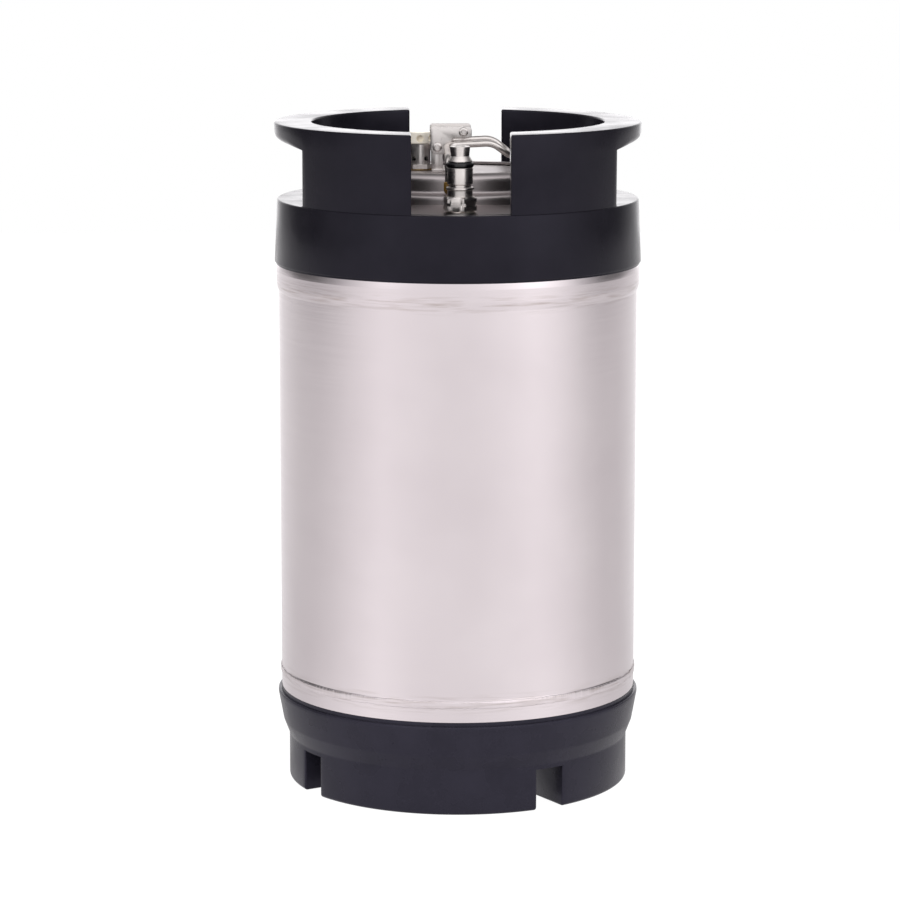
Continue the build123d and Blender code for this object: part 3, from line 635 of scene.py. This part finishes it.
# latch: bracket on the lid, two cheeks, two riveted pins and two soft feet, set out from the pivot
latch = {
    "pivot": (-12.5, 0, 387.163), "earInner": 10.2, "earOuter": 12.0, "earHalf": 3.5, "earTop": 4.0,
    "earRound": 3.1, "foot": -14.8, "base": 1.8, "footRound": 0.4, "strip": (-0.7, 8.6), "stripRound": 0.8,
    "tab": 4.0, "tabLap": 0.5, "tabRound": 0.5, "edge": 0.4,
    "cheekInner": 12.3, "cheekOuter": 14.1, "cheek": (
        (-4.2, -4.2, 3.6), (8.6, -4.2, 1.8), (8.6, 5.4, 1.8),
        (20.5, 5.4, 1.8), (20.5, 12.0, 1.8), (-4.2, 12.0, 1.8)),
    "pivotRadius": 2.0, "pivotPlay": 0.3, "crossRadius": 1.6, "cross": (15.6, 0, 9.0),
}
rivetHead = {
    "radius": 2.8, "height": 1.4, "slant": 0.1,  # each ring is a share of the radius, and a depth
    "rings": ((0.42, 0.0), (0.5, 0.25), (0.58, 0.1), (0.82, 0.16), (0.95, 0.5), (1.0, 0.9)),
}
softFoot = {"lead": 6.0, "offset": 48.6, "low": 362.363, "radius": 2.8, "height": 7.5, "tipRound": 2.6,
            "taper": 0.15, "rimRound": 0.5, "wire": 1.5, "rimDip": 0.25, "wireEnd": 3.0}


def crossPin(radius, headFrom, offset):
    s = rivetHead
    end = headFrom + s["height"]
    half = [(hair, end)] + [(s["radius"] * share, end - depth) for share, depth in s["rings"]]
    half += [(s["radius"], headFrom + s["slant"]), (radius, headFrom)]
    profile = [Vector(p) for p in half] + [Vector((r, -z)) for r, z in reversed(half)]
    points, faces = lathe(profile, 64)
    return shift(([(x, z, -y) for x, y, z in points], faces), offset)


def makeBracket():
    s = latch
    half, low, high = s["earHalf"], s["foot"], s["foot"] + s["base"]
    ear = roundProfile([(-half, low, s["footRound"]), (half, low, s["footRound"]),
                        (half, s["earTop"], s["earRound"]), (-half, s["earTop"], s["earRound"])])
    back, front = s["strip"]
    strip = roundProfile([(back, low, s["footRound"]), (front, low, s["stripRound"]),
                          (front, high, s["stripRound"]), (back, high, s["footRound"])], 3)
    corners = ((-half, low), (half, low), (half, high), (-half, high))
    tab = roundProfile([(x, z, s["tabRound"]) for x, z in corners], 3)
    lap, reach = s["earInner"] + s["tabLap"], s["earOuter"] + s["tab"]
    plates = [(ear, s["earInner"], s["earOuter"]), (ear, -s["earOuter"], -s["earInner"]),
              (strip, -s["earOuter"], s["earOuter"]), (tab, lap, reach), (tab, -reach, -lap)]
    shape = shift(joined(*(platePoints(*plate, s["edge"]) for plate in plates)), s["pivot"])
    makePiece("lidBracket", shape, pressed, "lid", ("lid_bracket",))


def makeLatch():
    s = latch
    cheek = roundProfile(s["cheek"])
    sides = ((s["cheekInner"], s["cheekOuter"]), (-s["cheekOuter"], -s["cheekInner"]))
    shape = shift(joined(*(platePoints(cheek, *side, s["edge"]) for side in sides)), s["pivot"])
    makePiece("latchCheeks", shape, pressed, "latch", ("latch_cheeks",))
    pivotPin = crossPin(s["pivotRadius"], s["cheekOuter"] + s["pivotPlay"], s["pivot"])
    makePiece("pivotRivet", pivotPin, pressed, "lid", ("latch_pivot_pin",))
    place = tuple(a + b for a, b in zip(s["pivot"], s["cross"]))
    crossRivet = crossPin(s["crossRadius"], s["cheekOuter"], place)
    makePiece("crossRivet", crossRivet, pressed, "latch", ("latch_cross_pin",))


def makeFeet():
    s = softFoot
    top = s["low"] + s["height"]
    tip = lathe(roundProfile([
        (hair, s["low"], 0), (s["radius"], s["low"], s["tipRound"]),
        (s["radius"] - s["taper"], top, s["rimRound"]),
        (s["wire"], top - s["rimDip"], 0), (hair, s["low"] + s["wireEnd"], 0)]), 64)
    feet = [shift(tip, (latch["pivot"][0] + s["lead"], side * s["offset"], 0)) for side in (-1, 1)]
    makePiece("latchFeet", joined(*feet), gum, "latch", ("latch_feet",))


makeBracket()
makeLatch()
makeFeet()
print("latch made")


# weld ripples: overlapping beads of melted steel, laid round a ring that can follow the dome of the head
rippleInputs = {
    "Ring Radius": "Float", "Count": "Int", "Ripple": "Vector", "Level": "Float", "Follow Dome": "Float",
    "Dome Radius": "Float", "Dome Axis": "Vector", "Uneven": "Float", "Material": "Material",
}


def buildRippleTree():
    tree = bpy.data.node_groups.new("weldRipples", "GeometryNodeTree")
    for name, kind in rippleInputs.items():
        tree.interface.new_socket(name, in_out="INPUT", socket_type="NodeSocket" + kind)
    tree.interface.new_socket("Geometry", in_out="OUTPUT", socket_type="NodeSocketGeometry")
    given = addNode(tree, "NodeGroupInput").outputs
    sizes = {"Vertices": given["Count"], "Radius": given["Ring Radius"]}
    ring = addNode(tree, "GeometryNodeMeshCircle", None, sizes)

    # each bead's height on the dome, from its distance to the dome's axis
    here = addNode(tree, "GeometryNodeInputPosition").outputs[0]
    axis, radius = given["Dome Axis"], given["Dome Radius"]
    away = addNode(tree, "ShaderNodeVectorMath", {"operation": "SUBTRACT"}, {0: here, 1: axis}).outputs[0]
    across = addNode(tree, "ShaderNodeVectorMath", {"operation": "DOT_PRODUCT"}, {0: away, 1: away})
    square = addNode(tree, "ShaderNodeMath", {"operation": "MULTIPLY"}, {0: radius, 1: radius}).outputs[0]
    rest = addNode(tree, "ShaderNodeMath", {"operation": "SUBTRACT"},
                   {0: square, 1: across.outputs["Value"]})
    height = addNode(tree, "ShaderNodeMath", {"operation": "SQRT"}, {0: rest.outputs[0]}).outputs[0]
    followed = addNode(tree, "ShaderNodeMath", {"operation": "MULTIPLY_ADD"},
                       {0: height, 1: given["Follow Dome"], 2: given["Level"]})
    rise = addNode(tree, "ShaderNodeCombineXYZ", None, {"Z": followed.outputs[0]})

    # uneven sizes, each bead turned to face outwards
    low = addNode(tree, "ShaderNodeMath", {"operation": "SUBTRACT", 0: 1.0}, {1: given["Uneven"]}).outputs[0]
    high = addNode(tree, "ShaderNodeMath", {"operation": "ADD", 0: 1.0}, {1: given["Uneven"]}).outputs[0]
    spread = addNode(tree, "FunctionNodeRandomValue", {"data_type": "FLOAT", "Seed": 0}, {2: low, 3: high})
    size = addNode(tree, "ShaderNodeVectorMath", {"operation": "SCALE"},
                   {0: given["Ripple"], "Scale": spread.outputs[1]})
    facing = {"axis": "X", "pivot_axis": "Z"}
    outward = addNode(tree, "FunctionNodeAlignRotationToVector", facing, {"Vector": here})
    bead = addNode(tree, "GeometryNodeMeshUVSphere", {"Segments": 10, "Rings": 6, "Radius": 1.0})
    placed = addNode(tree, "GeometryNodeInstanceOnPoints", None, {
        "Points": ring.outputs[0], "Instance": bead.outputs[0], "Rotation": outward.outputs[0],
        "Scale": size.outputs[0]})
    lifted = addNode(tree, "GeometryNodeSetPosition", None,
                     {"Geometry": placed.outputs[0], "Offset": rise.outputs[0]})
    solid = addNode(tree, "GeometryNodeRealizeInstances", None, {0: lifted.outputs[0]})
    smooth = addNode(tree, "GeometryNodeSetShadeSmooth", None, {"Geometry": solid.outputs[0]})
    coated = addNode(tree, "GeometryNodeSetMaterial", None,
                     {"Geometry": smooth.outputs[0], "Material": given["Material"]})
    addNode(tree, "NodeGroupOutput", None, {0: coated.outputs[0]})
    return tree


def bakeNodes(name, tree, values, offset, body):
    carrier = bpy.data.objects.new(name + "Carrier", bpy.data.meshes.new(name + "Carrier"))
    scene.collection.objects.link(carrier)
    modifier = carrier.modifiers.new("nodes", "NODES")
    modifier.node_group = tree
    for item in tree.interface.items_tree:
        if item.in_out == "INPUT":
            modifier[item.identifier] = values[item.name]
    bpy.context.view_layer.update()
    ready = carrier.evaluated_get(bpy.context.evaluated_depsgraph_get())
    mesh = bpy.data.meshes.new_from_object(ready)
    bpy.data.objects.remove(carrier)
    mesh.name = name
    mesh.transform(Matrix.Translation(Vector(offset) * mm))
    piece = bpy.data.objects.new(name, mesh)
    scene.collection.objects.link(piece)
    settle(piece, body)
    return piece


girthSeams = {
    "lowerWeld": {"radius": 108.2, "count": 450, "ripple": (0.42, 1.7, 2.3), "level": 68.0, "uneven": 0.12},
    "upperWeld": {"radius": 108.4, "count": 470, "ripple": (0.75, 1.5, 1.3), "level": 305.2, "uneven": 0.18},
}
fittingWeld = {"radius": 10.3, "count": 46, "ripple": (1.3, 1.1, 0.75), "level": tank["crownCentre"],
               "uneven": 0.12}


def makeWelds():
    tree = buildRippleTree()
    rounds = [(name, weld, 0.0, 0.0) for name, weld in girthSeams.items()]
    rounds += [("gasFittingWeld", fittingWeld, -post["circle"], 1.0),
               ("liquidFittingWeld", fittingWeld, post["circle"], 1.0)]
    for name, s, along, follow in rounds:
        values = {
            "Ring Radius": s["radius"] * mm, "Count": s["count"], "Ripple": [v * mm for v in s["ripple"]],
            "Level": s["level"] * mm, "Follow Dome": follow, "Dome Radius": tank["crownRadius"] * mm,
            "Dome Axis": (0.0, -along * mm, 0.0), "Uneven": s["uneven"], "Material": satin}
        bakeNodes(name, tree, values, (0.0, along, 0.0), "tank")


makeWelds()
print("weld ripples made")


# camera at the photograph's angle; focal length and frame are in pixels
view = {"focal": 3610.0, "frame": 900.0, "sensor": 36.0, "pitch": 9.8, "swing": 0.9, "distance": 2200.0,
        "aim": (-4.74, 0.0, 201.3), "farthest": 20000.0}


def makeCamera():
    data = bpy.data.cameras.new("camera")
    data.sensor_width = view["sensor"]
    data.lens = view["sensor"] * view["focal"] / view["frame"]
    data.clip_end = view["farthest"] * mm
    camera = bpy.data.objects.new("camera", data)
    scene.collection.objects.link(camera)
    pitch, swing = math.radians(view["pitch"]), math.radians(view["swing"])
    back = Vector((-math.sin(swing) * math.cos(pitch), -math.cos(swing) * math.cos(pitch), math.sin(pitch)))
    camera.location = (Vector(view["aim"]) + back * view["distance"]) * mm
    camera.rotation_euler = (-back).to_track_quat("-Z", "Y").to_euler()
    scene.camera = camera


# studio: a room that is bright in front, dark farther round and brightest straight behind, with soft lamps
# at both sides and above; gloss mirrors the room, and what is matt gets an even fill
studio = {
    "roomStops": ((0.0, 0.96), (0.165, 1.42), (0.305, 0.98), (0.44, 0.52), (0.6, 0.15), (0.76, 0.12),
                  (0.88, 0.45), (0.95, 0.85), (1.0, 2.2)),  # from straight in front to straight behind
    "roomGreen": 0.985, "sides": (0.84, 1.22), "fill": 0.5, "lampAim": (0, 0, 200),
    "lamps": (("softLeft", (-1500, -1500, 1300), 1100, 16.0), ("softRight", (1600, -1300, 1200), 1100, 14.0),
              ("softTop", (0, -200, 1900), 1400, 14.0)),  # place, size, watts
}
directionSpan = {"From Min": -1.0, "From Max": 1.0}
white = (1, 1, 1, 1)


def roomRamp(tree, share):
    ramp = addNode(tree, "ShaderNodeValToRGB", None, {"Fac": share})
    stops = ramp.color_ramp.elements
    while len(stops) < len(studio["roomStops"]):
        stops.new(0.5)
    for stop, (position, level) in zip(stops, studio["roomStops"]):
        stop.position = position
        stop.color = (level, level * studio["roomGreen"], level, 1)
    return ramp


def makeRoom():
    world = bpy.data.worlds.new("studioRoom")
    scene.world = world
    world.use_nodes = True
    tree = world.node_tree
    tree.nodes.clear()
    direction = addNode(tree, "ShaderNodeTexCoord").outputs["Generated"]
    parts = addNode(tree, "ShaderNodeSeparateXYZ", None, {0: direction}).outputs
    share = addNode(tree, "ShaderNodeMapRange", directionSpan, {"Value": parts["Y"]})
    span = directionSpan | {"To Min": studio["sides"][0], "To Max": studio["sides"][1]}
    sides = addNode(tree, "ShaderNodeMapRange", span, {"Value": parts["X"]})
    ramp = roomRamp(tree, share.outputs[0])
    path = addNode(tree, "ShaderNodeLightPath").outputs
    room = addNode(tree, "ShaderNodeBackground", None,
                   {"Color": ramp.outputs[0], "Strength": sides.outputs[0]})
    fill = addNode(tree, "ShaderNodeBackground", {"Color": white, "Strength": studio["fill"]})
    plain = addNode(tree, "ShaderNodeBackground", {"Color": white, "Strength": 1.0})
    mirrored = addNode(tree, "ShaderNodeMath", {"operation": "MAXIMUM"},
                       {0: path["Is Glossy Ray"], 1: path["Is Transmission Ray"]})
    lit = addNode(tree, "ShaderNodeMixShader", None,
                  {0: mirrored.outputs[0], 1: fill.outputs[0], 2: room.outputs[0]})
    seen = addNode(tree, "ShaderNodeMixShader", None,
                   {0: path["Is Camera Ray"], 1: lit.outputs[0], 2: plain.outputs[0]})
    addNode(tree, "ShaderNodeOutputWorld", None, {"Surface": seen.outputs[0]})


def makeLamps():
    for name, place, size, power in studio["lamps"]:
        lamp = bpy.data.lights.new(name, "AREA")
        lamp.size = size * mm
        lamp.energy = power
        holder = bpy.data.objects.new(name, lamp)
        scene.collection.objects.link(holder)
        holder.location = Vector(place) * mm
        holder.visible_glossy = False
        toObject = Vector(studio["lampAim"]) - Vector(place)
        holder.rotation_euler = toObject.to_track_quat("-Z", "Y").to_euler()


# Pale matt floor: white to the camera but for the object's shadow, and a paled room to what mirrors it.
paleFloor = {"matt": "#EDEAEC", "size": 6000.0, "glow": 1.22, "glowShare": 0.8, "paled": 0.72,
             "mirrored": (0.97, 0.95, 0.96, 1)}


def makeFloor():
    material = bpy.data.materials.new("floorPaleMatt")
    material.use_nodes = True
    tree = material.node_tree
    tree.nodes.clear()
    path = addNode(tree, "ShaderNodeLightPath").outputs
    matt = addNode(tree, "ShaderNodeBsdfDiffuse", {"Color": linear(paleFloor["matt"])})
    glow = addNode(tree, "ShaderNodeEmission", {"Color": white, "Strength": paleFloor["glow"]})
    share = addNode(tree, "ShaderNodeMath", {"operation": "MULTIPLY", 1: paleFloor["glowShare"]},
                    {0: path["Is Camera Ray"]})
    seen = addNode(tree, "ShaderNodeMixShader", None,
                   {0: share.outputs[0], 1: matt.outputs[0], 2: glow.outputs[0]})
    place = addNode(tree, "ShaderNodeTexCoord").outputs["Object"]
    toward = addNode(tree, "ShaderNodeVectorMath", {"operation": "NORMALIZE"}, {0: place})
    depth = addNode(tree, "ShaderNodeSeparateXYZ", None, {0: toward.outputs[0]}).outputs["Y"]
    turned = addNode(tree, "ShaderNodeMapRange", directionSpan, {"Value": depth})
    ramp = roomRamp(tree, turned.outputs[0])
    shades = {"data_type": "RGBA", 0: paleFloor["paled"], 7: paleFloor["mirrored"]}
    paled = addNode(tree, "ShaderNodeMix", shades, {6: ramp.outputs[0]})
    shown = addNode(tree, "ShaderNodeEmission", {"Strength": 1.0}, {"Color": paled.outputs[2]})
    mixed = addNode(tree, "ShaderNodeMixShader", None,
                    {0: path["Is Glossy Ray"], 1: seen.outputs[0], 2: shown.outputs[0]})
    addNode(tree, "ShaderNodeOutputMaterial", None, {"Surface": mixed.outputs[0]})
    half = paleFloor["size"] / 2 * mm
    mesh = bpy.data.meshes.new("floor")
    corners = [(-half, -half, 0), (half, -half, 0), (half, half, 0), (-half, half, 0)]
    mesh.from_pydata(corners, [], [(0, 1, 2, 3)])
    floor = bpy.data.objects.new("floor", mesh)
    floor.data.materials.append(material)
    scene.collection.objects.link(floor)


makeCamera()
makeRoom()
makeLamps()
makeFloor()
print("camera, light and floor set")

scene.view_settings.view_transform = "Standard"
bpy.context.view_layer.update()
